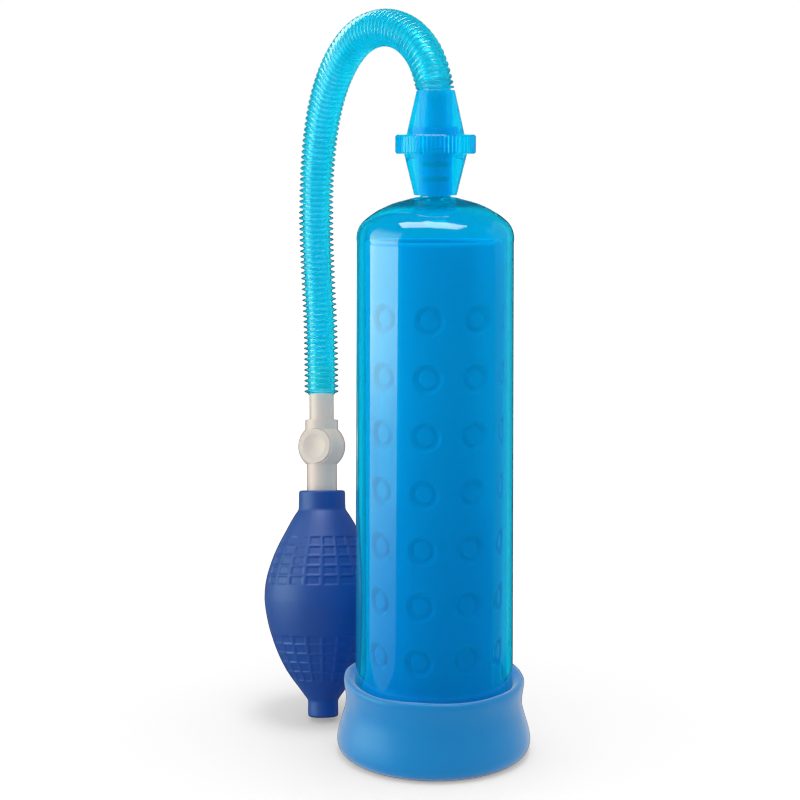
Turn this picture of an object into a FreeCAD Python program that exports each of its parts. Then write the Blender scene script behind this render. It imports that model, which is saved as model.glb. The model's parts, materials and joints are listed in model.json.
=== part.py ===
"""Hand vacuum pump: a clear cylinder over a soft liner, a swivel coupling, a
corrugated hose and a squeeze bulb with a release valve.

Millimetres, +Z up. The origin is the centre of the liner's mouth, on the floor
plane, with +Z along the cylinder. The bulb stands on its tip on the -X side.
"""
import FreeCAD, Part
import math
import os
import Sketcher

Vector = FreeCAD.Vector
doc = FreeCAD.newDocument("hand_vacuum_pump")

# ---------------------------------------------------------------- driving sizes
DIMENSIONS = [
    ("mouth_r", 17.5, "liner mouth radius"),
    ("mouth_depth", 9.0, "straight length of the mouth"),
    ("cuff_r", 38.3, "widest radius of the base cuff"),
    ("cuff_waist_r", 34.7, "waist radius of the base cuff"),
    ("cuff_height", 30.5, "height of the cuff's lip"),
    ("liner_r", 26.6, "outer radius of the liner"),
    ("liner_wall", 2.6, "liner wall"),
    ("liner_top", 202.5, "height of the liner's open top"),
    ("shell_foot_r", 31.2, "cylinder outer radius at its foot"),
    ("shell_top_r", 29.7, "cylinder outer radius under the dome"),
    ("shell_wall", 2.2, "cylinder wall"),
    ("shell_foot", 10.2, "height of the cylinder's lower edge"),
    ("dome_foot", 201.0, "height where the dome starts"),
    ("dome_top", 217.0, "height where the dome meets the neck"),
    ("nipple_r", 4.5, "radius of the nipple"),
    ("nipple_top", 234.2, "top of the nipple"),
    ("groove_low", 225.4, "height of the lower seal"),
    ("groove_high", 231.0, "height of the upper seal"),
    ("seal_cord_r", 0.9, "section radius of the two seals"),
    ("bush_bore_r", 5.36, "bore radius of the swivel bush"),
    ("bush_r", 6.3, "outer radius of the swivel bush"),
    ("running", 0.06, "radial running clearance"),
    ("socket_foot", 218.9, "lower edge of the coupling socket"),
    ("nut_foot", 234.4, "lower edge of the grip nut"),
    ("ring_top", 241.5, "top of the ribbed ring"),
    ("nut_top", 258.0, "top of the grip nut"),
    ("ring_r", 15.2, "radius of the ribbed ring"),
    ("hose_r", 7.2, "outer radius of the hose"),
    ("hose_bore_r", 4.2, "bore radius of the hose"),
    ("bulb_r", 24.3, "largest radius of the bulb"),
    ("bulb_wall", 2.4, "bulb wall"),
    ("bulb_tip_r", 6.2, "radius of the bulb's tip"),
    ("bulb_collar_r", 9.65, "radius of the bulb's collar"),
    ("bulb_top", 94.2, "length of the bulb, tip to collar"),
    ("bulb_lean", 13.0, "lean of the bulb from upright, degrees"),
    ("bulb_heading", 45.2, "heading that the bulb leans to, degrees"),
    ("valve_centre", 113.0, "distance of the valve's centre from the bulb's tip"),
    ("valve_r", 9.8, "radius of the round valve body"),
    ("valve_face", 5.9, "distance of the valve's flat face from its centre"),
    ("button_r", 7.25, "radius of the release button"),
    ("button_travel", 1.5, "travel of the release button"),
    ("spigot_r", 6.2, "radius of the tubes at the bulb"),
    ("tube_r", 5.0, "radius of the valve's upper tube"),
    ("hose_end", 135.2, "distance of the hose's lower end from the bulb's tip"),
]

sheet = doc.addObject("Spreadsheet::Sheet", "Params")
for row, (alias, number, meaning) in enumerate(DIMENSIONS, start=1):
    sheet.set(f"A{row}", alias)
    sheet.set(f"B{row}", str(number))
    sheet.set(f"C{row}", meaning)
    sheet.setAlias(f"B{row}", alias)
doc.recompute()


def written(value):
    """The expression of a size, or the digits of a plain number."""
    return value.text if isinstance(value, Size) else f"{value:g}"


class Size(float):
    """A number that remembers the spreadsheet expression it came from."""

    def __new__(cls, number, text):
        made = float.__new__(cls, number)
        made.text = text
        return made

    def __add__(self, other):
        return Size(float(self) + float(other), f"({self.text} + {written(other)})")

    def __sub__(self, other):
        return Size(float(self) - float(other), f"({self.text} - {written(other)})")

    def __mul__(self, factor):
        return Size(float(self) * float(factor), f"({self.text} * {written(factor)})")


class Sheet:
    """The driving sizes by name."""


P = Sheet()
for alias, number, meaning in DIMENSIONS:
    setattr(P, alias, Size(number, f"Params.{alias}"))


def bind(item, prop, value):
    """Give a property its number and, where it has one, its expression."""
    setattr(item, prop, float(value))
    if isinstance(value, Size):
        item.setExpression(prop, value.text)


# ---------------------------------------------------------------- frames
BULB_TIP = Vector(-56.2, -6.5, 1.4)
BUTTON_HEADING = -116.5     # heading of the release button about the bulb's axis

bulb_turn = FreeCAD.Rotation(Vector(0, 0, 1), P.bulb_heading).multiply(
    FreeCAD.Rotation(Vector(1, 0, 0), -P.bulb_lean))
BULB_FRAME = FreeCAD.Placement(BULB_TIP, bulb_turn)
VALVE_FRAME = BULB_FRAME.multiply(FreeCAD.Placement(
    Vector(0, 0, P.valve_centre), FreeCAD.Rotation(Vector(0, 0, 1), BUTTON_HEADING)))
ROW_FRAME = FreeCAD.Placement()
ALONG_X = FreeCAD.Rotation(Vector(0, 1, 0), 90)

pieces = []


def raised(frame, height):
    """A frame moved along its own Z axis."""
    return frame.multiply(FreeCAD.Placement(Vector(0, 0, height), FreeCAD.Rotation()))


def keep(piece, label, frame=ROW_FRAME):
    """Name a finished sub-part and put it in its place."""
    piece.Label = label
    piece.Placement = frame
    pieces.append(piece)
    return piece


# ---------------------------------------------------------------- turned pieces
def origin_plane(body, role):
    return next(item for item in body.Origin.OriginFeatures if item.Role == role)


def draw_outline(sketch, outline):
    """Draw a closed outline of (r, z) points; a third and fourth number make the
    stretch that ends there an arc through that middle point."""
    count = len(outline)
    starts = []
    for i, point in enumerate(outline):
        before = outline[i - 1]
        start = Vector(before[0], before[1], 0)
        end = Vector(point[0], point[1], 0)
        if len(point) == 4:
            edge = Part.ArcOfCircle(start, Vector(point[2], point[3], 0), end)
        else:
            edge = Part.LineSegment(start, end)
        index = sketch.addGeometry(edge, False)
        first = 1 if (sketch.getPoint(index, 1) - start).Length < 1e-6 else 2
        starts.append((index, first))
    for i, (index, first) in enumerate(starts):
        following, following_first = starts[(i + 1) % count]
        last = 3 - first
        sketch.addConstraint(
            Sketcher.Constraint("Coincident", index, last, following, following_first))
        pin_point(sketch, index, last, outline[i])
        if len(outline[i]) == 4:
            radius = sketch.Geometry[index].Radius
            sketch.addConstraint(Sketcher.Constraint("Radius", index, radius))


def pin_point(sketch, index, end, point):
    """Hold one sketch point at its two distances from the sketch's origin."""
    for kind, value in (("DistanceX", point[0]), ("DistanceY", point[1])):
        number = sketch.addConstraint(
            Sketcher.Constraint(kind, -1, 1, index, end, float(value)))
        if isinstance(value, Size):
            sketch.setExpression(f"Constraints[{number}]", value.text)


def turned_body(name, outline):
    """A PartDesign body turned about its own Z axis from an outline."""
    body = doc.addObject("PartDesign::Body", name)
    sketch = body.newObject("Sketcher::SketchObject", f"{name}_outline")
    sketch.AttachmentSupport = (origin_plane(body, "XZ_Plane"), [""])
    sketch.MapMode = "FlatFace"
    draw_outline(sketch, outline)
    turn = body.newObject("PartDesign::Revolution", f"{name}_turn")
    turn.Profile = sketch
    turn.ReferenceAxis = (sketch, ["V_Axis"])
    turn.Angle = 360.0
    body.Tip = turn
    return body


def turned(label, outline, frame=ROW_FRAME):
    return keep(turned_body(f"{label}_body", outline), label, frame)


# ---------------------------------------------------------------- primitives
def rod(name, radius, start, end, turn=None):
    """A cylinder between two distances along +Z, or along +X when turned."""
    item = doc.addObject("Part::Cylinder", name)
    bind(item, "Radius", radius)
    item.Height = float(end) - float(start)
    offset = Vector(start, 0, 0) if turn else Vector(0, 0, start)
    item.Placement = FreeCAD.Placement(offset, turn or FreeCAD.Rotation())
    return item


def joined(name, items):
    fuse = doc.addObject("Part::MultiFuse", name)
    fuse.Shapes = items
    return fuse


def cut(name, base, tool):
    result = doc.addObject("Part::Cut", name)
    result.Base = base
    result.Tool = tool
    return result


# ---------------------------------------------------------------- liner and cylinder
GROOVE_CLEARANCE = 0.3

turned("liner_sleeve", [
    (P.mouth_r, 0),
    (P.cuff_r - 4.8, 0),
    (P.cuff_r, 4.2, P.cuff_r - 1.45, 1.49),
    (P.cuff_waist_r, 20.0, P.cuff_r - 1.1, 12.0),
    (P.cuff_waist_r + 0.9, P.cuff_height - 2.0, P.cuff_waist_r + 0.2, 24.0),
    (P.cuff_waist_r - 0.9, P.cuff_height, P.cuff_waist_r + 0.4, P.cuff_height - 0.5),
    (P.shell_foot_r + GROOVE_CLEARANCE, P.cuff_height - 1.6),
    (P.shell_foot_r + GROOVE_CLEARANCE, P.shell_foot - 0.2),
    (P.shell_foot_r - P.shell_wall - 0.5, P.shell_foot - 0.2),
    (P.shell_foot_r - P.shell_wall - 0.5, P.cuff_height - 4.0),
    (P.liner_r, P.cuff_height),
    (P.liner_r, P.liner_top - 1.3),
    (P.liner_r - P.liner_wall, P.liner_top - 1.3, P.liner_r - 1.3, P.liner_top - 0.2),
    (P.liner_r - P.liner_wall, P.mouth_depth + 6.0),
    (P.mouth_r, P.mouth_depth, P.mouth_r + 4.4, P.mouth_depth + 1.6),
])

GROOVE_R = P.nipple_r - 1.0
GROOVE_HALF = 1.0
NIPPLE_FOOT_R = 5.85
NIPPLE_BORE_R = 2.0
turned("cylinder_shell", [
    (P.shell_foot_r, P.shell_foot),
    (P.shell_top_r, P.dome_foot),
    (26.2, 209.9, 29.2, 206.0),
    (11.4, P.dome_top, 19.6, 214.2),
    (NIPPLE_FOOT_R, P.dome_top + 1.3, 8.4, P.dome_top + 0.85),
    (NIPPLE_FOOT_R, P.dome_top + 1.6),
    (P.nipple_r, P.dome_top + 2.1),
    (P.nipple_r, P.groove_low - GROOVE_HALF),
    (GROOVE_R, P.groove_low - GROOVE_HALF),
    (GROOVE_R, P.groove_low + GROOVE_HALF),
    (P.nipple_r, P.groove_low + GROOVE_HALF),
    (P.nipple_r, P.groove_high - GROOVE_HALF),
    (GROOVE_R, P.groove_high - GROOVE_HALF),
    (GROOVE_R, P.groove_high + GROOVE_HALF),
    (P.nipple_r, P.groove_high + GROOVE_HALF),
    (P.nipple_r, P.nipple_top - 0.5),
    (P.nipple_r - 0.5, P.nipple_top),
    (NIPPLE_BORE_R, P.nipple_top),
    (NIPPLE_BORE_R, P.dome_top - 1.6),
    (11.2, P.dome_top - 2.6),
    (24.4, 208.5, 18.8, 212.1),
    (P.shell_top_r - P.shell_wall, P.dome_foot, 27.0, 205.4),
    (P.shell_foot_r - P.shell_wall, P.shell_foot),
])


def seal_ring(label, height):
    ring = doc.addObject("Part::Torus", f"{label}_torus")
    bind(ring, "Radius1", GROOVE_R + P.seal_cord_r)
    bind(ring, "Radius2", P.seal_cord_r)
    keep(ring, label, raised(ROW_FRAME, height))


seal_ring("o_ring_lower", P.groove_low)
seal_ring("o_ring_upper", P.groove_high)

# ---------------------------------------------------------------- swivel coupling
BUSH_FLANGE_R = 7.5
POCKET_R = 7.7
BARB_BORE_R = 2.2
THREAD_R = 8.5
SOCKET_TOP = 244.0
BUSH_FLANGE_FOOT = P.nut_foot + 0.6
BUSH_TOP = P.nut_foot + 1.6
GASKET_BORE_R = P.bush_bore_r - 1.0
GASKET_TOP = P.nut_foot + 2.2
BARB_FLANGE_FOOT = P.nut_foot + 2.3
BARB_FLANGE_TOP = P.nut_foot + 3.8
BARB_FLANGE_R = POCKET_R - 0.1
BARB_STEM_R = 3.6
BARB_STEM_TOP = 250.0
BARB_TOP = 254.6

turned("swivel_bush", [
    (P.bush_bore_r, P.socket_foot + 0.4),
    (P.bush_r, P.socket_foot + 0.4),
    (P.bush_r, BUSH_FLANGE_FOOT),
    (BUSH_FLANGE_R, BUSH_FLANGE_FOOT),
    (BUSH_FLANGE_R, BUSH_TOP),
    (P.bush_bore_r, BUSH_TOP),
])

turned("coupling_gasket", [
    (GASKET_BORE_R, BUSH_TOP),
    (BUSH_FLANGE_R, BUSH_TOP),
    (BUSH_FLANGE_R, GASKET_TOP),
    (GASKET_BORE_R, GASKET_TOP),
])

turned("coupling_socket", [
    (P.bush_r + P.running, P.socket_foot),
    (7.6, P.socket_foot),
    (8.2, P.socket_foot + 0.6, 8.05, P.socket_foot + 0.15),
    (11.85, P.nut_foot - 0.1),
    (THREAD_R, P.nut_foot - 0.1),
    (THREAD_R, SOCKET_TOP),
    (POCKET_R, SOCKET_TOP),
    (POCKET_R, P.nut_foot + 0.5),
    (P.bush_r + P.running, P.nut_foot + 0.5),
])

turned("hose_barb", [
    (BARB_BORE_R, BARB_FLANGE_FOOT),
    (BARB_FLANGE_R, BARB_FLANGE_FOOT),
    (BARB_FLANGE_R, BARB_FLANGE_TOP),
    (BARB_STEM_R, BARB_FLANGE_TOP),
    (BARB_STEM_R, BARB_STEM_TOP),
    (BARB_STEM_R + 0.6, BARB_STEM_TOP),
    (BARB_STEM_R, BARB_TOP - 0.6),
    (BARB_STEM_R - 0.4, BARB_TOP),
    (BARB_BORE_R, BARB_TOP),
])

# ---------------------------------------------------------------- hose route
HOSE_ROUTE = [
    Vector(-1.1, 0.2, 260.5),
    Vector(-3.3, 0.6, 266.4),
    Vector(-8.8, 1.7, 273.6),
    Vector(-18.7, 3.6, 280.3),
    Vector(-33.3, 6.4, 283.5),
    Vector(-50.0, 9.4, 280.4),
    Vector(-64.0, 12.1, 269.6),
    Vector(-74.5, 14.5, 253.3),
    Vector(-81.4, 17.0, 231.4),
    Vector(-84.9, 19.2, 206.8),
    Vector(-84.7, 20.1, 181.8),
    Vector(-81.8, 18.9, 157.5),
    Vector(-77.8, 14.9, 133.1),
]


ARC_SHARE = 0.45


def tube_path(route):
    """The stretches of a round tube, and the radius and angle of each turn: straight
    runs joined by arcs, each arc taking a fixed share of the shorter run beside it."""
    stretches = []
    turns = []
    at = route[0]
    for before, corner, after in zip(route, route[1:], route[2:]):
        come = (corner - before).normalize()
        go = (after - corner).normalize()
        reach = ARC_SHARE * min(corner.distanceToPoint(before), corner.distanceToPoint(after))
        half_turn = come.getAngle(go) / 2
        radius = reach / math.tan(half_turn)
        turns.append((radius, math.degrees(2 * half_turn)))
        enter = corner - come * reach
        leave = corner + go * reach
        stretches.append(("run", at, enter, None))
        middle = corner + (go - come).normalize() * (radius / math.cos(half_turn) - radius)
        stretches.append(("arc", enter, leave, middle))
        at = leave
    stretches.append(("run", at, route[-1], None))
    return stretches, turns


def tube_face(at, along, outer, inner):
    disc = Part.Face(Part.Wire(Part.Circle(at, along, outer).toShape()))
    if not inner:
        return disc
    hole = Part.Face(Part.Wire(Part.Circle(at, along, inner).toShape()))
    return disc.cut(hole).Faces[0]


def tube_solid(route, outer, inner, name=None):
    """A tube made of straight pieces and ring segments along the route."""
    solids = []
    length = 0.0
    stretches, turns = tube_path(route)
    for kind, start, end, middle in stretches:
        if kind == "run":
            solids.append(tube_face(start, end - start, outer, inner).extrude(end - start))
            length += (end - start).Length
        else:
            arc = Part.Arc(start, middle, end).toShape()
            length += arc.Length
            centre = arc.Curve.Center
            axis = (start - centre).cross(end - centre).normalize()
            sweep = math.degrees((start - centre).getAngle(end - centre))
            along = axis.cross(start - centre)
            solids.append(tube_face(start, along, outer, inner).revolve(centre, axis, sweep))
    tube = solids[0].fuse(solids[1:]).removeSplitter()
    expected = math.pi * (outer ** 2 - inner ** 2) * length
    if name:
        for radius, turn in turns:
            print(f"{name} arc radius {radius:.1f} mm, turn {turn:.1f} degrees")
        print(f"{name} length {length:.1f} mm, "
              f"volume over section times length {tube.Volume / expected:.4f}")
    return tube.Solids[0]


hose = doc.addObject("Part::Feature", "hose_tube")
hose.Shape = tube_solid(HOSE_ROUTE, float(P.hose_r), float(P.hose_bore_r), "hose")
keep(hose, "corrugated_hose")

# The hose's plain end: a sleeve in the grip nut that turns with the hose's first run.
EXIT_TURN = FreeCAD.Rotation(Vector(0, 0, 1), HOSE_ROUTE[1] - HOSE_ROUTE[0])
EXIT_LENGTH = 3.4
EXIT_R = 5.4
SLEEVE_BORE_R = 4.25
SLEEVE_NECK_R = 6.3
SLEEVE_FOOT = P.nut_foot + 3.9
SLEEVE_TOP = P.nut_top - 1.5
EXIT_START = HOSE_ROUTE[0] - (HOSE_ROUTE[1] - HOSE_ROUTE[0]).normalize() * EXIT_LENGTH
end_sleeve = turned_body("hose_end_sleeve_turned", [
    (SLEEVE_BORE_R, SLEEVE_FOOT),
    (BARB_FLANGE_R, SLEEVE_FOOT),
    (BARB_FLANGE_R, P.ring_top),
    (SLEEVE_NECK_R, SOCKET_TOP),
    (SLEEVE_NECK_R, SLEEVE_TOP),
    (SLEEVE_BORE_R, SLEEVE_TOP),
])
exit_stub = doc.addObject("Part::Cylinder", "hose_exit_stub")
exit_stub.Radius = EXIT_R
exit_stub.Height = EXIT_LENGTH
exit_stub.Placement = FreeCAD.Placement(EXIT_START, EXIT_TURN)
exit_bore = doc.addObject("Part::Cylinder", "hose_exit_bore")
bind(exit_bore, "Radius", P.hose_bore_r)
exit_bore.Height = EXIT_LENGTH + 1.0
exit_bore.Placement = FreeCAD.Placement(EXIT_START, EXIT_TURN)
hose_end_outer = joined("hose_end_sleeve_outer", [end_sleeve, exit_stub])
keep(cut("hose_end_sleeve_cut", hose_end_outer, exit_bore), "hose_end_sleeve")

# ---------------------------------------------------------------- grip nut
RIB_COUNT = 60
RIB_DEPTH = 0.55
RIB_HALF_WIDTH = 0.42
NUT_EDGE = 0.6
NUT_THROAT_R = SLEEVE_NECK_R + 0.1
nut = turned_body("grip_nut_body", [
    (THREAD_R + P.running, P.nut_foot),
    (P.ring_r - NUT_EDGE, P.nut_foot),
    (P.ring_r, P.nut_foot + NUT_EDGE),
    (P.ring_r, P.ring_top - NUT_EDGE),
    (P.ring_r - NUT_EDGE, P.ring_top),
    (10.9, P.ring_top),
    (P.hose_r, P.nut_top - 0.3),
    (P.hose_r - 0.3, P.nut_top),
    (NUT_THROAT_R, P.nut_top),
    (NUT_THROAT_R, SOCKET_TOP + 0.2),
    (THREAD_R + P.running, SOCKET_TOP + 0.2),
])
doc.recompute()
notch = nut.newObject("Sketcher::SketchObject", "rib_notch")
notch.AttachmentSupport = (origin_plane(nut, "XY_Plane"), [""])
notch.MapMode = "FlatFace"
draw_outline(notch, [
    (P.ring_r - RIB_DEPTH, 0),
    (P.ring_r + 0.3, RIB_HALF_WIDTH),
    (P.ring_r + 0.3, -RIB_HALF_WIDTH),
])
ribs = nut.newObject("PartDesign::Pocket", "rib_cut")
ribs.Profile = notch
ribs.Type = 1
ribs.Midplane = True
ribs.Reversed = False
pattern = nut.newObject("PartDesign::PolarPattern", "rib_pattern")
pattern.Originals = [ribs]
pattern.Axis = (notch, ["N_Axis"])
pattern.Angle = 360.0
pattern.Occurrences = RIB_COUNT
nut.Tip = pattern
keep(nut, "grip_nut")

# ---------------------------------------------------------------- squeeze bulb
TIP_BORE_R = 4.3
HOUSING_FOOT = 0.8
HOUSING_R = 4.25
HOUSING_BORE_R = 3.2
HOUSING_SHOULDER = 7.2
HOUSING_TOP = 9.0
HOUSING_PORT_R = 1.3
turned("squeeze_bulb", [
    (TIP_BORE_R, 0),
    (P.bulb_tip_r - 0.6, 0),
    (P.bulb_tip_r, 0.6, P.bulb_tip_r - 0.2, 0.2),
    (P.bulb_tip_r, 6.4),
    (P.bulb_tip_r + 1.3, 8.9, P.bulb_tip_r + 0.3, 7.9),
    (19.5, 28.4, 13.6, 17.0),
    (P.bulb_r, 48.7, 23.0, 38.6),
    (19.6, 69.0, 23.2, 58.9),
    (12.4, 82.6, 16.3, 76.2),
    (P.bulb_collar_r + 0.2, 87.0, 10.6, 85.0),
    (P.bulb_collar_r, P.bulb_top - 0.6),
    (P.bulb_collar_r - 0.6, P.bulb_top),
    (P.spigot_r + 0.05, P.bulb_top),
    (P.spigot_r + 0.05, 83.2),
    (P.bulb_r - 6.9, 69.0, 13.0, 77.0),
    (P.bulb_r - P.bulb_wall, 48.7, 20.9, 59.0),
    (P.bulb_r - 7.1, 28.4, 20.5, 38.2),
    (TIP_BORE_R, HOUSING_TOP + 0.6, 11.2, 17.6),
], BULB_FRAME)

turned("exhaust_valve_housing", [
    (HOUSING_BORE_R, HOUSING_FOOT),
    (HOUSING_R, HOUSING_FOOT),
    (HOUSING_R, HOUSING_TOP),
    (HOUSING_PORT_R, HOUSING_TOP),
    (HOUSING_PORT_R, HOUSING_SHOULDER),
    (HOUSING_BORE_R, HOUSING_SHOULDER),
], BULB_FRAME)

BALL_R = 1.9
CAP_TOP = 2.1
BALL_REST = CAP_TOP + BALL_R + 0.05
ball = doc.addObject("Part::Sphere", "exhaust_ball_sphere")
ball.Radius = BALL_R
keep(ball, "exhaust_ball", raised(BULB_FRAME, BALL_REST))

VENT_COUNT = 6
VENT_R = 0.45
VENT_CIRCLE_R = 2.1
vents = []
for number in range(VENT_COUNT):
    angle = 2 * math.pi * number / VENT_COUNT
    vent = rod(f"vent_{number}", VENT_R, HOUSING_FOOT - 0.3, CAP_TOP + 0.3)
    vent.Placement.Base += VENT_CIRCLE_R * Vector(math.cos(angle), math.sin(angle), 0)
    vents.append(vent)
cap_disc = rod("exhaust_cap_disc", HOUSING_BORE_R - 0.05, HOUSING_FOOT, CAP_TOP)
keep(cut("exhaust_cap_cut", cap_disc, joined("vent_holes", vents)), "exhaust_cap", BULB_FRAME)

SPIGOT_FOOT = 83.0
SPIGOT_BORE_R = 2.0
SPIGOT_NECK_R = 4.5
SPIGOT_TOP = 99.3
CHECK_DISC_R = 3.6
CHECK_DISC_THICKNESS = 0.8
CHECK_SEAT_FOOT = 101.3
CHECK_SEAT_TOP = 103.9
CHECK_SEAT_BORE_R = 1.8
CHAMBER_BORE_R = 4.6

turned("bulb_spigot", [
    (SPIGOT_BORE_R, SPIGOT_FOOT),
    (P.spigot_r - 0.8, SPIGOT_FOOT),
    (P.spigot_r, SPIGOT_FOOT + 1.0),
    (P.spigot_r, P.bulb_top - 0.05),
    (SPIGOT_NECK_R, P.bulb_top - 0.05),
    (SPIGOT_NECK_R, SPIGOT_TOP),
    (SPIGOT_BORE_R, SPIGOT_TOP),
], BULB_FRAME)

turned("intake_check_seat", [
    (CHECK_SEAT_BORE_R, CHECK_SEAT_FOOT),
    (CHAMBER_BORE_R - 0.05, CHECK_SEAT_FOOT),
    (CHAMBER_BORE_R - 0.05, CHECK_SEAT_TOP),
    (CHECK_SEAT_BORE_R, CHECK_SEAT_TOP),
], BULB_FRAME)

keep(rod("intake_check_disc_rod", CHECK_DISC_R, 0.0, CHECK_DISC_THICKNESS),
     "intake_check_disc", raised(BULB_FRAME, SPIGOT_TOP + 0.05))

# ---------------------------------------------------------------- release valve
# Built about the valve's centre: +X runs out through the button, +Z up the hose.
CHAMBER_R = 5.0
SEAT_INNER = 2.2
SEAT_OUTER = 3.4
AIRWAY_R = 1.8
PORT_R = 2.4
FLAT_DEPTH = 8.0
COLLAR_FOOT = 6.8
COLLAR_TOP = 11.0
BARB_LOW = 20.0
BARB_HIGH = 34.0
CHAMBER_BACK = -6.5

LOWER_TUBE_END = P.bulb_top - P.valve_centre
flat_tool = rod("valve_flat_tool", P.valve_r + 2, P.valve_face, P.valve_face + FLAT_DEPTH,
                ALONG_X)
round_body = doc.addObject("Part::Sphere", "valve_ball")
bind(round_body, "Radius", P.valve_r)
valve_outer = joined("valve_outer", [
    cut("valve_ball_cut", round_body, flat_tool),
    rod("valve_lower_tube", P.spigot_r, LOWER_TUBE_END, -6.0),
    rod("valve_collar", P.tube_r + 1.8, COLLAR_FOOT, COLLAR_TOP),
    rod("valve_upper_tube", P.tube_r, COLLAR_TOP - 1.0, P.hose_end - P.valve_centre),
    rod("valve_barb", P.hose_bore_r - 0.2, BARB_LOW, BARB_HIGH),
])
valve_inner = joined("valve_inner", [
    rod("airway_up", AIRWAY_R, 0.0, BARB_HIGH + 1.0),
    rod("airway_down", AIRWAY_R, -12.0, 0.0),
    rod("check_chamber", CHAMBER_BORE_R, LOWER_TUBE_END - 0.5, -9.0),
    rod("valve_chamber", CHAMBER_R, CHAMBER_BACK, SEAT_INNER, ALONG_X),
    rod("valve_port", PORT_R, SEAT_INNER - 0.5, SEAT_OUTER + 0.5, ALONG_X),
    rod("button_pocket", P.button_r + 0.1, SEAT_OUTER, P.valve_face + 1.0, ALONG_X),
])
keep(cut("valve_body_cut", valve_outer, valve_inner), "valve_body", VALVE_FRAME)

STEM_R = 1.3
BUTTON_INNER = SEAT_OUTER + float(P.button_travel) + 0.1
BUTTON_OUTER = BUTTON_INNER + 2.2
SPRING_SEAT = BUTTON_INNER + 1.3
SPRING_RECESS_R = 4.6
SPRING_CORE_R = 2.4
PLUNGER_FOOT = 0.6
PLUNGER_R = 3.5
DISH_R = 22.0
DISH_DEPTH = 0.6
dish = doc.addObject("Part::Sphere", "button_dish")
dish.Radius = DISH_R
dish.Placement.Base = Vector(BUTTON_OUTER - DISH_DEPTH + DISH_R, 0, 0)
button_solid = joined("button_solid", [
    rod("button_disc", P.button_r, BUTTON_INNER, BUTTON_OUTER, ALONG_X),
    rod("button_stem", STEM_R, PLUNGER_FOOT - 0.2, BUTTON_INNER + 0.5, ALONG_X),
])
spring_recess = cut(
    "spring_recess",
    rod("spring_recess_outer", SPRING_RECESS_R, BUTTON_INNER - 0.1, SPRING_SEAT, ALONG_X),
    rod("spring_recess_inner", SPRING_CORE_R, BUTTON_INNER - 0.2, SPRING_SEAT + 0.1, ALONG_X))
keep(cut("release_button_cut", button_solid, joined("button_hollows", [dish, spring_recess])),
     "release_button", VALVE_FRAME)

keep(cut("plunger_seal_cut",
         rod("plunger_seal_disc", PLUNGER_R, PLUNGER_FOOT, SEAT_INNER - 0.1, ALONG_X),
         rod("plunger_seal_hole", STEM_R + 0.02, PLUNGER_FOOT - 0.3, SEAT_INNER + 0.3, ALONG_X)),
     "plunger_seal", VALVE_FRAME)

SPRING_R = 3.6
SPRING_WIRE_R = 0.2
SPRING_TURNS = 2
POINTS_A_TURN = 10
spring_length = SPRING_SEAT - SEAT_OUTER - 2 * SPRING_WIRE_R - 0.1
point_count = SPRING_TURNS * POINTS_A_TURN + 1
coil = []
for number in range(point_count):
    angle = 2 * math.pi * number / POINTS_A_TURN
    rise = spring_length * number / (point_count - 1)
    coil.append(Vector(SPRING_R * math.cos(angle), SPRING_R * math.sin(angle), rise))
spring = doc.addObject("Part::Feature", "button_spring_coil")
spring.Shape = tube_solid(coil, SPRING_WIRE_R, 0)
keep(spring, "button_spring", VALVE_FRAME.multiply(
    FreeCAD.Placement(Vector(SEAT_OUTER + SPRING_WIRE_R + 0.05, 0, 0), ALONG_X)))

# ---------------------------------------------------------------- check and write
doc.recompute()
for item in doc.Objects:
    if {"Invalid", "Error"} & set(item.State):
        raise RuntimeError(f"{item.Name} failed: {item.State}")
for piece in pieces:
    shape = piece.Shape
    if shape.isNull() or not shape.isValid() or not shape.Solids:
        raise RuntimeError(f"{piece.Label} has no valid shape")

if ribs.Shape.Volume >= nut.getObject("grip_nut_body_turn").Shape.Volume:
    raise RuntimeError("the grip nut's ribs cut nothing")

os.makedirs("parts", exist_ok=True)
for piece in pieces:
    box = piece.Shape.BoundBox
    piece.Shape.exportStep(f"parts/{piece.Label}.step")
    print(f"{piece.Label}: {len(piece.Shape.Solids)} solid, {piece.Shape.Volume / 1000:.2f} cm3, "
          f"z {box.ZMin:.2f} to {box.ZMax:.2f}")
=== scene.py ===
"""Looks of the hand vacuum pump: clear cylinder, dimpled soft liner with its cuff,
corrugated hose, white release valve and a waffle-gripped squeeze bulb.

Metres, +Z up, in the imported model's own frame.
"""
import json
import math

import bmesh
import bpy
from mathutils import Matrix, Vector, noise


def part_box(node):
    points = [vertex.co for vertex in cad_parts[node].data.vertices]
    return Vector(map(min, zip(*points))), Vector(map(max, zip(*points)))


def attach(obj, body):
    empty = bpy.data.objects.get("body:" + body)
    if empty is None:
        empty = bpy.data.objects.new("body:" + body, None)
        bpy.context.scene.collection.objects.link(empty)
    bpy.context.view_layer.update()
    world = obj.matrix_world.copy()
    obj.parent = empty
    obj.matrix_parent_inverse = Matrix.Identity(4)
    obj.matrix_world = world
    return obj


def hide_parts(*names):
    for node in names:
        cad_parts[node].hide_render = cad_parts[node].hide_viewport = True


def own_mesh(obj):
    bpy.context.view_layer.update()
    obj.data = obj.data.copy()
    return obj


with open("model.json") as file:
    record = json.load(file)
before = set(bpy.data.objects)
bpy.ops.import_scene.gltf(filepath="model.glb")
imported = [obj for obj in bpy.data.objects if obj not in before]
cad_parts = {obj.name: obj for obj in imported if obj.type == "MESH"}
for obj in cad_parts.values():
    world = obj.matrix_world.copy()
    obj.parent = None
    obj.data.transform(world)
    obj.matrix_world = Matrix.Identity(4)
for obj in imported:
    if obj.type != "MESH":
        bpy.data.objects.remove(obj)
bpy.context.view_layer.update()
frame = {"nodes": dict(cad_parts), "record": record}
MM = 0.001

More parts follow.
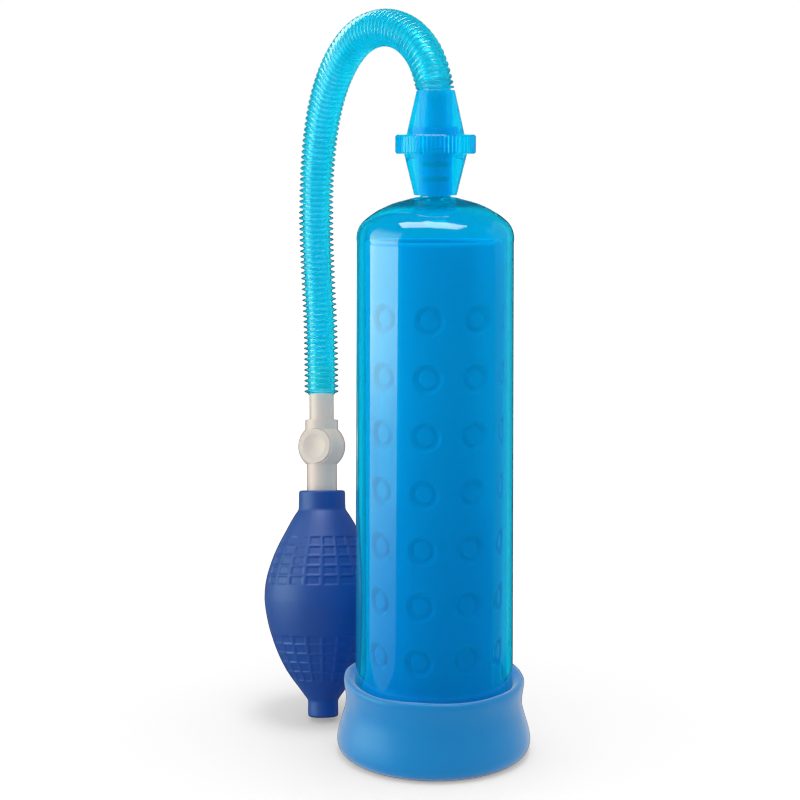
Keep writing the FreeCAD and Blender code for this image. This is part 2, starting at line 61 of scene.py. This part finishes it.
# ---------------------------------------------------------------- camera
AXIS_DISTANCE = 0.630       # camera to the cylinder's axis, on the floor plan
CAMERA_HEIGHT = 0.238
CAMERA_OFFSET = 0.0134      # how far the view's middle passes to the left of the axis
CAMERA_AZIMUTH = math.radians(43.0)
CAMERA_PITCH = math.radians(8.8)
CAMERA_LENS = 74.4

away = Vector((-math.sin(CAMERA_AZIMUTH), math.cos(CAMERA_AZIMUTH), 0))
right = Vector((math.cos(CAMERA_AZIMUTH), math.sin(CAMERA_AZIMUTH), 0))


def studio(sideways, backward, height):
    """A point given across the view, away from the camera and up."""
    return right * sideways + away * backward + Vector((0, 0, height))


def aim(item, target):
    item.rotation_euler = (Vector(target) - item.location).to_track_quat("-Z", "Y").to_euler()


camera = bpy.data.objects.new("camera", bpy.data.cameras.new("camera"))
bpy.context.scene.collection.objects.link(camera)
camera.data.lens = CAMERA_LENS
camera.data.sensor_width = 36.0
camera.location = studio(-CAMERA_OFFSET, -AXIS_DISTANCE, CAMERA_HEIGHT)
look = away * math.cos(CAMERA_PITCH) - Vector((0, 0, math.sin(CAMERA_PITCH)))
aim(camera, camera.location + look)
bpy.context.scene.camera = camera

# ---------------------------------------------------------------- hose route
HOSE_ROUTE = [
    (-0.0011, 0.0002, 0.2605),
    (-0.0033, 0.0006, 0.2664),
    (-0.0088, 0.0017, 0.2736),
    (-0.0187, 0.0036, 0.2803),
    (-0.0333, 0.0064, 0.2835),
    (-0.0500, 0.0094, 0.2804),
    (-0.0640, 0.0121, 0.2696),
    (-0.0745, 0.0145, 0.2533),
    (-0.0814, 0.0170, 0.2314),
    (-0.0849, 0.0192, 0.2068),
    (-0.0847, 0.0201, 0.1818),
    (-0.0818, 0.0189, 0.1575),
    (-0.0778, 0.0149, 0.1331),
]
HOSE_RADIUS = 0.0072
HOSE_CORE = 0.0055          # radius between two ribs
HOSE_BORE = 0.0042

# ---------------------------------------------------------------- materials
NOISE_DETAIL = 3.0
BUMP_STRENGTH = 0.3


def shader_of(made):
    return made.node_tree.nodes["Principled BSDF"]


def material(name, color, roughness, **sockets):
    """A Principled material with plain values; a socket's spaces are underscores here."""
    made = bpy.data.materials.new(name)
    made.use_nodes = True
    shader = shader_of(made)
    shader.inputs["Base Color"].default_value = (*color, 1.0)
    shader.inputs["Roughness"].default_value = roughness
    for socket, value in sockets.items():
        shader.inputs[socket.replace("_", " ")].default_value = value
    return made


def noise_field(made, scale):
    """Object-space noise between 0 and 1."""
    nodes, links = made.node_tree.nodes, made.node_tree.links
    place = nodes.new("ShaderNodeTexCoord")
    field = nodes.new("ShaderNodeTexNoise")
    field.inputs["Scale"].default_value = scale
    field.inputs["Detail"].default_value = NOISE_DETAIL
    links.new(place.outputs["Object"], field.inputs["Vector"])
    return field.outputs["Fac"]


def fill_ramp(ramp, stops):
    """Give a colour ramp its stops of (position, colour)."""
    elements = ramp.color_ramp.elements
    for number, (position, color) in enumerate(stops):
        stop = elements[number] if number < len(elements) else elements.new(position)
        stop.position = position
        stop.color = (*color, 1.0)


def vary_color(made, field, dark, light):
    nodes, links = made.node_tree.nodes, made.node_tree.links
    ramp = nodes.new("ShaderNodeValToRGB")
    fill_ramp(ramp, [(0.35, dark), (0.65, light)])
    links.new(field, ramp.inputs["Fac"])
    links.new(ramp.outputs["Color"], shader_of(made).inputs["Base Color"])


def paint_shade_by_height(made, stops):
    """Colour by height over the floor, from stops of (height, colour): the cuff's own colour, and
    painted shade on the liner above it, darker towards the bottom.
    """
    nodes, links = made.node_tree.nodes, made.node_tree.links
    place = nodes.new("ShaderNodeTexCoord")
    split = nodes.new("ShaderNodeSeparateXYZ")
    spread = nodes.new("ShaderNodeMapRange")
    spread.inputs["From Max"].default_value = stops[-1][0]
    ramp = nodes.new("ShaderNodeValToRGB")
    fill_ramp(ramp, [(height / stops[-1][0], color) for height, color in stops])
    links.new(place.outputs["Object"], split.inputs["Vector"])
    links.new(split.outputs["Z"], spread.inputs["Value"])
    links.new(spread.outputs["Result"], ramp.inputs["Fac"])
    links.new(ramp.outputs["Color"], shader_of(made).inputs["Base Color"])


def vary_roughness(made, field, low, high):
    nodes, links = made.node_tree.nodes, made.node_tree.links
    spread = nodes.new("ShaderNodeMapRange")
    spread.inputs["To Min"].default_value = low
    spread.inputs["To Max"].default_value = high
    links.new(field, spread.inputs["Value"])
    links.new(spread.outputs["Result"], shader_of(made).inputs["Roughness"])


def add_bump(made, field, distance):
    nodes, links = made.node_tree.nodes, made.node_tree.links
    bump = nodes.new("ShaderNodeBump")
    bump.inputs["Strength"].default_value = BUMP_STRENGTH
    bump.inputs["Distance"].default_value = distance
    links.new(field, bump.inputs["Height"])
    links.new(bump.outputs["Normal"], shader_of(made).inputs["Normal"])


def clear_blue():
    """Polished tinted acrylic."""
    made = material("clear_blue", (0.0, 0.60, 0.84), 0.03,
                    Transmission_Weight=0.88, IOR=1.45)
    vary_roughness(made, noise_field(made, 60.0), 0.01, 0.04)
    return made


def coupling_blue():
    """Tinted moulding, clear enough to show the shadows of what it holds."""
    made = material("coupling_blue", (0.0, 0.64, 0.92), 0.12, Transmission_Weight=0.80,
                    IOR=1.25, Specular_IOR_Level=0.4)
    vary_roughness(made, noise_field(made, 400.0), 0.08, 0.16)
    return made


def soft_blue():
    """Soft translucent elastomer with a faint sheen."""
    made = material("soft_blue", (0.0, 0.25, 0.50), 0.40, Subsurface_Weight=0.15,
                    Subsurface_Scale=0.003, Sheen_Weight=1.0, Sheen_Roughness=0.42,
                    Specular_IOR_Level=0.2)
    # Painted shade: above the cuff the liner is painted darker towards the bottom and paler towards
    # the top, for light that falls off lower down; the cuff below 30.6 mm keeps its own colour.
    cuff, painted_shade_bottom, painted_lit_top = (0.0, 0.26, 0.64), (0.0, 0.19, 0.60), (0.0, 0.45, 0.76)
    paint_shade_by_height(made, [(0.0, cuff), (0.0306, cuff), (0.032, painted_shade_bottom), (0.150, painted_lit_top)])
    vary_roughness(made, noise_field(made, 45.0), 0.30, 0.52)
    add_bump(made, noise_field(made, 900.0), 0.00005)
    return made


def hose_blue():
    """Thin translucent tube that the backdrop shines through."""
    made = material("hose_blue", (0.01, 0.68, 0.84), 0.12, Transmission_Weight=0.75,
                    IOR=1.40, Coat_Weight=0.8, Coat_Roughness=0.10)
    vary_color(made, noise_field(made, 60.0), (0.008, 0.66, 0.83), (0.012, 0.70, 0.85))
    return made


def bulb_blue():
    made = material("bulb_blue", (0.003, 0.060, 0.32), 0.48, Specular_IOR_Level=0.35,
                    Sheen_Weight=0.12, Sheen_Roughness=0.4)
    vary_color(made, noise_field(made, 40.0), (0.003, 0.058, 0.30), (0.004, 0.068, 0.34))
    add_bump(made, noise_field(made, 1500.0), 0.00004)
    return made


def white_plastic():
    made = material("white_plastic", (0.74, 0.63, 0.565), 0.42, Specular_IOR_Level=0.2)
    vary_roughness(made, noise_field(made, 300.0), 0.24, 0.36)
    return made


def seal_rubber():
    made = material("seal_rubber", (0.02, 0.02, 0.022), 0.5)
    add_bump(made, noise_field(made, 2500.0), 0.00003)
    return made


def bright_steel(name, roughness):
    made = material(name, (0.62, 0.62, 0.63), roughness, Metallic=1.0)
    vary_roughness(made, noise_field(made, 3000.0), roughness * 0.7, roughness * 1.3)
    return made


FINISHES = {
    "clear_blue": clear_blue(),
    "coupling_blue": coupling_blue(),
    "soft_blue": soft_blue(),
    "hose_blue": hose_blue(),
    "bulb_blue": bulb_blue(),
    "white_plastic": white_plastic(),
    "seal_rubber": seal_rubber(),
    "ball_steel": bright_steel("ball_steel", 0.12),
    "spring_steel": bright_steel("spring_steel", 0.3),
}
CLEAR_SLOTS = ("clear_blue", "coupling_blue", "hose_blue")    # these let the lamps through
for part in frame["record"]["subparts"]:
    node = frame["nodes"][part["node"]]
    node.data.materials.clear()
    node.data.materials.append(FINISHES[part["material_slot"]])
    node.visible_shadow = part["material_slot"] not in CLEAR_SLOTS

# ---------------------------------------------------------------- mesh tools


def mesh_piece(name, points, faces, finish, body, stands_for):
    """A smooth mesh that replaces CAD nodes and rides on their body."""
    mesh = bpy.data.meshes.new(name)
    mesh.from_pydata(points, [], faces)
    mesh.validate()
    work = bmesh.new()
    work.from_mesh(mesh)
    bmesh.ops.recalc_face_normals(work, faces=work.faces)
    work.to_mesh(mesh)
    work.free()
    mesh.polygons.foreach_set("use_smooth", [True] * len(mesh.polygons))
    piece = bpy.data.objects.new(name, mesh)
    bpy.context.scene.collection.objects.link(piece)
    mesh.materials.append(FINISHES[finish])
    piece.visible_shadow = finish not in CLEAR_SLOTS
    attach(piece, body)
    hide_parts(*stands_for)
    return piece


def ring_faces(rings, around, closed):
    """Quads between rings of points; closed joins the last ring to the first."""
    faces = []
    for row in range(rings if closed else rings - 1):
        following = (row + 1) % rings
        for step in range(around):
            beside = (step + 1) % around
            faces.append((row * around + step, row * around + beside,
                          following * around + beside, following * around + step))
    return faces


def turned_points(outline, around, shape=None, frame_matrix=Matrix.Identity(4)):
    """Points of a closed outline of (r, z) turned about +Z. shape(index, r, z, angle)
    gives the point's own r and z, for what isn't round."""
    points = []
    for index, (radius, height) in enumerate(outline):
        for step in range(around):
            angle = 2 * math.pi * step / around
            here = shape(index, radius, height, angle) if shape else (radius, height)
            points.append(frame_matrix @ Vector((here[0] * math.cos(angle),
                                                 here[0] * math.sin(angle), here[1])))
    return points


def smooth_line(points, spacing):
    """A Catmull-Rom line through points, sampled about every spacing."""
    line = []
    ends = [points[0]] + list(points) + [points[-1]]
    for before, start, end, after in zip(ends, ends[1:], ends[2:], ends[3:]):
        length = math.dist(start, end)
        steps = max(1, round(length / spacing))
        for step in range(steps):
            t = step / steps
            line.append(tuple(
                0.5 * (2 * b + (c - a) * t + (2 * a - 5 * b + 4 * c - d) * t * t
                       + (3 * b - a - 3 * c + d) * t ** 3)
                for a, b, c, d in zip(before, start, end, after)))
    line.append(tuple(points[-1]))
    return line


def smoothstep(t):
    """t held between 0 and 1, with a soft start and end."""
    t = min(1.0, max(0.0, t))
    return t * t * (3 - 2 * t)


def bell(distance, radius, rim):
    """1 inside a round patch, falling to 0 over its rim."""
    return smoothstep((radius + rim / 2 - distance) / rim)


def straight_wall(line, spacing):
    """Points up or down a straight wall between its two ends."""
    (radius, start), (_, end) = line
    steps = round(abs(end - start) / spacing)
    return [(radius, start + (end - start) * i / steps) for i in range(steps + 1)]


def ring_points(centre, side, other, radius, around):
    """Points round a centre, in the plane of two square directions."""
    points = []
    for step in range(around):
        angle = 2 * math.pi * step / around
        points.append(centre + (side * math.cos(angle) + other * math.sin(angle)) * radius)
    return points


# ---------------------------------------------------------------- liner and cuff
CUFF_OUTSIDE = [(33.5, 0.15), (35.6, 0.6), (37.3, 1.9), (38.1, 3.8), (38.2, 6.0), (37.5, 9.5),
                (36.3, 13.5), (35.2, 17.5), (34.75, 20.5), (34.85, 23.5), (35.3, 26.5),
                (35.6, 28.6), (35.3, 29.9), (34.3, 30.45), (33.0, 30.0), (31.9, 28.9)]
FOOT_GROOVE = [(31.5, 28.0), (31.45, 20.0), (31.45, 10.2), (31.2, 10.0), (28.9, 10.0), (28.6, 10.4),
               (28.5, 18.0), (28.45, 25.5), (27.9, 28.5), (26.9, 30.6)]
LINER_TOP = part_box("liner_sleeve")[1].z / MM
LINER_RADIUS = 26.6
LINER_OUTSIDE = [(LINER_RADIUS, 32.0), (LINER_RADIUS, LINER_TOP - 1.4)]
LINER_RIM = [(26.3, LINER_TOP - 0.5), (25.3, LINER_TOP), (24.3, LINER_TOP - 0.5)]
LINER_INSIDE = [(24.0, LINER_TOP - 1.4), (24.0, 17.0)]
MOUTH = [(23.6, 14.0), (21.8, 11.2), (18.6, 9.6), (17.6, 8.8), (17.5, 7.5), (17.5, 1.6),
         (17.9, 0.5), (19.0, 0.1)]
CUFF_SPACING, FOOT_SPACING, MOUTH_SPACING = 0.6, 1.5, 0.8
OUTER_SPACING, INNER_SPACING = 0.55, 0.9
LINER_AROUND = 360

DIMPLE_ROWS = 7
DIMPLE_COLUMNS = 9
DIMPLE_FIRST_ROW = 43.5
DIMPLE_ROW_PITCH = 21.7
DIMPLE_RADIUS = 4.3
DIMPLE_RIM = 0.9
DISH_DEPTH = 0.6
RING_DEPTH = 1.8         # of the groove that rings each dish
RING_HALF = 0.8
DIMPLE_TWIST = math.radians(-1.35)      # how far each lower row turns
DIMPLE_TOP_ANGLE = math.radians(-5.4)   # top row's middle column, from the view's middle
FRONT = math.atan2(-away.y, -away.x)
WALL_FROM, WALL_TO = 23.0, 27.0         # radii that both faces of the dimpled wall lie between
DIMPLES_ABOVE = 32.0
RIM_CLEAR = 2.0                         # left plain under the liner's top

CUFF_FROM = 31.6                        # radius that the cuff's uneven part starts at
LIP_START, LIP_RISE = 12.0, 16.0        # height it starts at, and the rise it builds up over
WAVE_SCALE, WAVE_PLACE, WAVE_HEIGHT = 1.4, 0.3, 0.7
RIPPLE_SCALE, RIPPLE_RISE, RIPPLE_DEPTH = 3.0, 0.05, 0.5


def dimple(height, angle):
    """How deep the liner's wall is pressed in at a place."""
    row = round((height - DIMPLE_FIRST_ROW) / DIMPLE_ROW_PITCH)
    if not 0 <= row < DIMPLE_ROWS:
        return 0.0
    start = FRONT + DIMPLE_TOP_ANGLE + DIMPLE_TWIST * (DIMPLE_ROWS - 1 - row)
    column_pitch = 2 * math.pi / DIMPLE_COLUMNS
    off = (angle - start + column_pitch / 2) % column_pitch - column_pitch / 2
    up = height - (DIMPLE_FIRST_ROW + DIMPLE_ROW_PITCH * row)
    reach = math.hypot(off * LINER_RADIUS, up)
    dish = DISH_DEPTH * bell(reach, DIMPLE_RADIUS, DIMPLE_RIM)
    return dish + RING_DEPTH * bell(abs(reach - DIMPLE_RADIUS), RING_HALF, DIMPLE_RIM)


def liner_shape(index, radius, height, angle):
    """Dimples in the liner's wall, and the cuff's slightly uneven lip."""
    if WALL_FROM < radius < WALL_TO and DIMPLES_ABOVE < height < LINER_TOP - RIM_CLEAR:
        return radius - dimple(height, angle), height
    if radius > CUFF_FROM:
        lift = max(0.0, min(1.0, (height - LIP_START) / LIP_RISE))
        east, north = math.cos(angle), math.sin(angle)
        wave = noise.noise(Vector((east * WAVE_SCALE, north * WAVE_SCALE, WAVE_PLACE)))
        ripple = noise.noise(
            Vector((east * RIPPLE_SCALE, north * RIPPLE_SCALE, height * RIPPLE_RISE)))
        return radius + RIPPLE_DEPTH * lift * ripple, height + WAVE_HEIGHT * lift * wave
    return radius, height


liner_outline = smooth_line(CUFF_OUTSIDE, CUFF_SPACING) + smooth_line(FOOT_GROOVE, FOOT_SPACING)
liner_outline += straight_wall(LINER_OUTSIDE, OUTER_SPACING) + LINER_RIM
liner_outline += straight_wall(LINER_INSIDE, INNER_SPACING) + smooth_line(MOUTH, MOUTH_SPACING)
liner_points = [point * MM for point in turned_points(liner_outline, LINER_AROUND, liner_shape)]
mesh_piece("liner_and_cuff", liner_points, ring_faces(len(liner_outline), LINER_AROUND, True),
           "soft_blue", "sleeve", ["liner_sleeve"])

# ---------------------------------------------------------------- squeeze bulb
BULB_TIP = Vector((-0.0562, -0.0065, 0.0014))
BULB_HEADING = math.radians(45.2)
BULB_LEAN = math.radians(13.0)
bulb_frame = (Matrix.Translation(BULB_TIP) @ Matrix.Rotation(BULB_HEADING, 4, "Z")
              @ Matrix.Rotation(-BULB_LEAN, 4, "X"))
BULB_OUTSIDE = [(5.4, 0.0), (6.0, 0.3), (6.2, 1.0), (6.2, 3.6), (6.2, 6.2), (6.6, 7.4), (8.4, 9.9),
                (10.6, 12.9), (13.1, 16.2), (15.3, 19.6), (17.5, 23.8), (19.5, 28.4), (21.0, 32.7),
                (22.4, 37.4), (23.5, 42.6), (24.1, 47.0), (24.25, 50.0), (23.95, 54.5),
                (23.1, 59.0), (21.6, 63.8), (19.9, 68.2), (17.8, 72.6), (15.4, 77.0), (13.1, 81.2),
                (11.4, 84.0), (10.1, 85.9), (9.75, 87.2), (9.65, 90.0), (9.6, 93.3), (9.3, 94.0),
                (8.8, 94.2)]
BULB_INSIDE = [(6.3, 94.2), (6.25, 84.0), (10.6, 81.0), (16.0, 72.0), (21.0, 60.0), (21.6, 50.0),
               (20.6, 40.0), (17.4, 29.0), (12.0, 19.0), (5.6, 10.0), (4.3, 9.0), (4.3, 0.3),
               (4.7, 0.0)]
GRIP_COLUMNS = 20
GRIP_BANDS = [(15.4, 34.8), (55.2, 75.4)]
GRIP_ROWS = 5
CELL_DEPTH = 0.45
RIDGE_HALF = 0.085     # half a ridge's width, as a share of a cell
RIDGE_SLOPE = 0.07
STEPS_A_CELL = 18
BULB_AROUND = GRIP_COLUMNS * STEPS_A_CELL
BULB_SPACING, BULB_INNER_SPACING = 0.34, 2.0


def cell_depth(across, along):
    """Depth inside one waffle cell, both shares running from 0 to 1."""
    depth = 1.0
    for share in (across, along):
        edge = min(share, 1.0 - share)
        depth *= smoothstep((edge - RIDGE_HALF) / RIDGE_SLOPE)
    return depth


def bulb_shape(index, radius, height, angle):
    """Waffle cells pressed into the bulb's outside, in two bands."""
    if index >= bulb_outside_count:
        return radius, height
    for low, high in GRIP_BANDS:
        if low <= height <= high:
            along = (height - low) / (high - low) * GRIP_ROWS % 1.0
            across = angle / (2 * math.pi) * GRIP_COLUMNS % 1.0
            return radius - CELL_DEPTH * cell_depth(across, along), height
    return radius, height


bulb_outside = smooth_line(BULB_OUTSIDE, BULB_SPACING)
bulb_outside_count = len(bulb_outside)
bulb_outline = bulb_outside + smooth_line(BULB_INSIDE, BULB_INNER_SPACING)
to_row = bulb_frame @ Matrix.Scale(MM, 4)
mesh_piece("grip_bulb", turned_points(bulb_outline, BULB_AROUND, bulb_shape, to_row),
           ring_faces(len(bulb_outline), BULB_AROUND, True),
           "bulb_blue", "hose_set", ["squeeze_bulb"])

# ---------------------------------------------------------------- corrugated hose
RIB_PITCH = 0.0023
RINGS_A_RIB = 12
HOSE_AROUND = 48
SPLINE_STEPS = 24          # points between two of the route's
FIN_SHARPNESS = 2.2


def hose_line():
    """Points that follow the route's own smooth spline."""
    curve = bpy.data.curves.new("hose_route", "CURVE")
    curve.dimensions = "3D"
    curve.resolution_u = SPLINE_STEPS
    spline = curve.splines.new("NURBS")
    spline.points.add(len(HOSE_ROUTE) - 1)
    for point, place in zip(spline.points, HOSE_ROUTE):
        point.co = (*place, 1.0)
    spline.order_u = 3
    spline.use_endpoint_u = True
    holder = bpy.data.objects.new("hose_route", curve)
    bpy.context.scene.collection.objects.link(holder)
    mesh = bpy.data.meshes.new_from_object(holder)
    line = [v.co.copy() for v in mesh.vertices]
    bpy.data.objects.remove(holder)
    bpy.data.meshes.remove(mesh)
    return line


def resample(line, count):
    """count points at equal steps along a line."""
    lengths = [0.0]
    for a, b in zip(line, line[1:]):
        lengths.append(lengths[-1] + (b - a).length)
    points = []
    at = 0
    for step in range(count):
        target = lengths[-1] * step / (count - 1)
        while at < len(line) - 2 and lengths[at + 1] < target:
            at += 1
        share = (target - lengths[at]) / (lengths[at + 1] - lengths[at])
        points.append(line[at].lerp(line[at + 1], share))
    return points, lengths[-1]


def rib_profile(share):
    """Radius along one rib, from groove to crown to groove: a thin fin on a core."""
    wave = 0.5 - 0.5 * math.cos(2 * math.pi * share)
    return HOSE_CORE + (HOSE_RADIUS - HOSE_CORE) * wave ** FIN_SHARPNESS


def tube_around(path, radii, around):
    """Rings of points square to a path, turned as little as may be."""
    points = []
    side = Vector((0, 0, 1)).cross(path[1] - path[0]).normalized()
    for i, place in enumerate(path):
        along = (path[min(i + 1, len(path) - 1)] - path[max(i - 1, 0)]).normalized()
        side = (side - along * side.dot(along)).normalized()
        points += ring_points(place, side, along.cross(side), radii[i], around)
    return points


line = hose_line()
ribs = round(resample(line, 2)[1] / RIB_PITCH)
rings = ribs * RINGS_A_RIB + 1
path, _ = resample(line, rings)
outer = [rib_profile(i / RINGS_A_RIB % 1.0) for i in range(rings)]
outside = tube_around(path, outer, HOSE_AROUND)
inside_path = path[::RINGS_A_RIB]
inside = tube_around(inside_path, [HOSE_BORE] * len(inside_path), HOSE_AROUND)
inside_rows = [inside[i * HOSE_AROUND:(i + 1) * HOSE_AROUND] for i in range(len(inside_path))]
hose_points = outside + [p for row in reversed(inside_rows) for p in row]
hose = mesh_piece("ribbed_hose", hose_points,
                  ring_faces(rings + len(inside_path), HOSE_AROUND, True),
                  "hose_blue", "hose_set", ["corrugated_hose"])

# The hose's first ribs, which fan out from the flat end of the nut to the hose's start.
HEEL_RIBS = 2
HEEL_GAP = 0.0002
NUT_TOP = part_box("grip_nut")[1].z
heel_start = Vector((0, 0, NUT_TOP + HEEL_GAP))
heel_end = path[0]
heel_turn = (path[1] - path[0]).normalized()
heel_count = HEEL_RIBS * RINGS_A_RIB + 1
heel_points = []
for i in range(heel_count):
    share = i / (heel_count - 1)
    along = Vector((0, 0, 1)).lerp(heel_turn, share).normalized()
    centre = heel_start.lerp(heel_end, share)
    side = Vector((0, 1, 0)).cross(along).normalized()
    radius = rib_profile(i / RINGS_A_RIB % 1.0)
    heel_points += ring_points(centre, side, along.cross(side), radius, HOSE_AROUND)
mesh_piece("hose_heel", heel_points, ring_faces(heel_count, HOSE_AROUND, False),
           "hose_blue", "hose_set", [])

# ---------------------------------------------------------------- button spring
VALVE_CENTRE = 0.113
BUTTON_HEADING = math.radians(-116.5)
SPRING_FOOT = 0.00365
SPRING_RISE = 0.0024
SPRING_RADIUS = 0.0036
SPRING_WIRE = 0.0002
SPRING_TURNS = 2
SPRING_STEPS = 24          # points in a turn
WIRE_AROUND = 10
valve_frame = (bulb_frame @ Matrix.Translation((0, 0, VALVE_CENTRE))
               @ Matrix.Rotation(BUTTON_HEADING, 4, "Z"))
coil = []
for i in range(SPRING_TURNS * SPRING_STEPS + 1):
    angle = 2 * math.pi * i / SPRING_STEPS
    rise = SPRING_FOOT + SPRING_RISE * i / (SPRING_TURNS * SPRING_STEPS)
    coil.append(valve_frame @ Vector((rise, SPRING_RADIUS * math.sin(angle),
                                      -SPRING_RADIUS * math.cos(angle))))
coil_faces = ring_faces(len(coil), WIRE_AROUND, False)
coil_faces.append(tuple(range(WIRE_AROUND)))
coil_faces.append(tuple(range((len(coil) - 1) * WIRE_AROUND, len(coil) * WIRE_AROUND)))
spring = mesh_piece("coil_spring", tube_around(coil, [SPRING_WIRE] * len(coil), WIRE_AROUND),
                    coil_faces, "spring_steel", "hose_set", ["button_spring"])
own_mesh(spring)

# ---------------------------------------------------------------- floor and light
FLOOR_HALF = 4.0


def plane(name, half_width, half_depth):
    mesh = bpy.data.meshes.new(name)
    corners = [(-half_width, -half_depth, 0), (half_width, -half_depth, 0),
               (half_width, half_depth, 0), (-half_width, half_depth, 0)]
    mesh.from_pydata(corners, [], [(0, 1, 2, 3)])
    made = bpy.data.objects.new(name, mesh)
    bpy.context.scene.collection.objects.link(made)
    return made


floor = plane("floor", FLOOR_HALF, FLOOR_HALF)
floor.data.materials.append(material("floor_white", (0.9, 0.9, 0.9), 0.9, Specular_IOR_Level=0.0))
floor.is_shadow_catcher = True
floor.visible_glossy = False
floor.visible_transmission = False


def panel(name, place, size, target, color, strengths):
    """A glowing panel that faces target, with strengths of (share of height, strength)."""
    made = plane(name, size[0] / 2, size[1] / 2)
    made.location = studio(*place)
    aim(made, target)
    glow = bpy.data.materials.new(name)
    glow.use_nodes = True
    nodes, links = glow.node_tree.nodes, glow.node_tree.links
    nodes.clear()
    place_node = nodes.new("ShaderNodeTexCoord")
    split = nodes.new("ShaderNodeSeparateXYZ")
    ramp = nodes.new("ShaderNodeValToRGB")
    ramp.color_ramp.interpolation = "EASE"
    peak = max(strength for _, strength in strengths)
    stops = [(share, [c * strength / peak for c in color]) for share, strength in strengths]
    fill_ramp(ramp, stops)
    lamp = nodes.new("ShaderNodeEmission")
    lamp.inputs["Strength"].default_value = peak
    out = nodes.new("ShaderNodeOutputMaterial")
    links.new(place_node.outputs["Generated"], split.inputs["Vector"])
    links.new(split.outputs["Y"], ramp.inputs["Fac"])
    links.new(ramp.outputs["Color"], lamp.inputs["Color"])
    links.new(lamp.outputs["Emission"], out.inputs["Surface"])
    made.data.materials.append(glow)
    made.visible_camera = False
    made.visible_diffuse = False
    made.visible_transmission = False
    made.visible_shadow = False


MIDDLE = (0, 0, 0.12)
SEA_WHITE = (0.72, 0.88, 0.55)
WHITE = (1.0, 1.0, 1.0)
panel("left_panel", (-0.80, -0.10, 0.28), (0.85, 1.1), MIDDLE, SEA_WHITE,
      [(0.0, 0.6), (0.07, 1.05), (0.20, 2.5), (0.33, 6.9), (0.40, 7.5), (0.50, 5.0),
       (0.70, 3.0), (1.0, 0.2)])
panel("right_panel", (0.80, 0.40, 0.28), (0.9, 1.1), MIDDLE, SEA_WHITE,
      [(0.0, 0.15), (1.0, 0.3)])
panel("top_panel", (-0.03, -0.10, 1.0), (0.95, 0.42), MIDDLE, WHITE,
      [(0.0, 9.0), (1.0, 9.0)])


def softbox(name, place, size, power, target, shadow):
    """A soft lamp that gives light but no reflection of its own."""
    data = bpy.data.lights.new(name, "AREA")
    data.shape = "RECTANGLE"
    data.size, data.size_y = size
    data.energy = power
    data.specular_factor = 0.0
    data.use_shadow = shadow
    lamp = bpy.data.objects.new(name, data)
    bpy.context.scene.collection.objects.link(lamp)
    lamp.location = studio(*place)
    aim(lamp, target)
    lamp.visible_glossy = False


softbox("left_key", (-0.85, -0.25, 0.30), (0.7, 0.8), 3.4, MIDDLE, False)
softbox("right_fill", (0.85, -0.10, 0.30), (0.7, 0.8), 1.6, MIDDLE, False)
softbox("top_key", (0.05, 0.05, 1.1), (0.35, 0.35), 2.0, MIDDLE, True)

# The camera sees a white backdrop; reflections see the dark of the room.
BACKDROP, ROOM_LIGHT, ROOM_REFLECTION = 1.03, 0.58, 0.02
world = bpy.data.worlds.new("studio")
bpy.context.scene.world = world
world.use_nodes = True
nodes, links = world.node_tree.nodes, world.node_tree.links
backdrop = nodes["Background"]
backdrop.inputs["Color"].default_value = (1.0, 1.0, 1.0, 1.0)
ray = nodes.new("ShaderNodeLightPath")
not_glossy = nodes.new("ShaderNodeMapRange")
not_glossy.inputs["To Min"].default_value = ROOM_LIGHT
not_glossy.inputs["To Max"].default_value = ROOM_REFLECTION
seen = nodes.new("ShaderNodeMapRange")
seen.inputs["To Max"].default_value = BACKDROP
links.new(ray.outputs["Is Glossy Ray"], not_glossy.inputs["Value"])
links.new(not_glossy.outputs["Result"], seen.inputs["To Min"])
either = nodes.new("ShaderNodeMath")
either.operation = "MAXIMUM"
links.new(ray.outputs["Is Camera Ray"], either.inputs[0])
links.new(ray.outputs["Is Transmission Ray"], either.inputs[1])
links.new(either.outputs["Value"], seen.inputs["Value"])
links.new(seen.outputs["Result"], backdrop.inputs["Strength"])
bpy.context.scene.view_settings.view_transform = "Standard"
